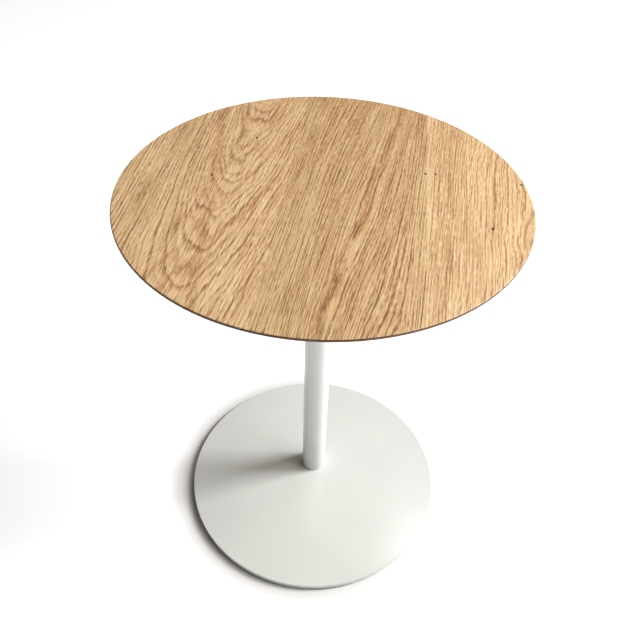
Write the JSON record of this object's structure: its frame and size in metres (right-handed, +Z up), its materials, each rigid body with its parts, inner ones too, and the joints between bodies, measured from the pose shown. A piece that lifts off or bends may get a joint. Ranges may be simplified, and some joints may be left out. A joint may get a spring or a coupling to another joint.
{
  "type": "round pedestal table",
  "caption": "Round side table with a thin bevelled oak-veneered top, a plain white round column set slightly behind centre, and a flat white disc base.",
  "frame": {"origin": "on the floor, on the vertical axis that the round top and the round base share", "axes": "+Z up from the floor to the table surface, +Y towards the side where the column is set back, +X to the right as seen from the front (-Y)"},
  "size_m": [0.4999, 0.5, 0.6],
  "materials": {
    "oak_face": "clear satin lacquer on crown-cut oak veneer",
    "oak_lipping": "clear satin lacquer on solid oak",
    "oak_backing": "plain sanded oak veneer, thin matt lacquer",
    "board": "raw fibreboard",
    "white_coating": "fine matt powder coat, warm white",
    "plug_steel": "turned, bare",
    "fastener_zinc": "bright zinc plating",
    "insert_brass": "machined",
    "glide_plastic": "moulded, fine satin",
    "felt": "pressed wool felt"
  },
  "bodies": {
    "root": {"veneer_left_leaf": "oak_face", "veneer_centre_leaf": "oak_face", "veneer_right_leaf": "oak_face", "top_core": "board", "edge_lipping": "oak_lipping", "backing_veneer": "oak_backing", "threaded_inserts": "insert_brass", "mounting_plate": "white_coating", "mounting_screws": "fastener_zinc", "screw_washers": "fastener_zinc", "plate_weld": "white_coating", "column_tube": "white_coating", "foot_plug": "plug_steel", "base_disc": "white_coating", "base_screws": "fastener_zinc", "glide_1": "glide_plastic", "glide_2": "glide_plastic", "glide_3": "glide_plastic", "glide_4": "glide_plastic", "glide_5": "glide_plastic", "glide_6": "glide_plastic", "felt_pad_1": "felt", "felt_pad_2": "felt", "felt_pad_3": "felt", "felt_pad_4": "felt", "felt_pad_5": "felt", "felt_pad_6": "felt"}
  },
  "joints": []
}
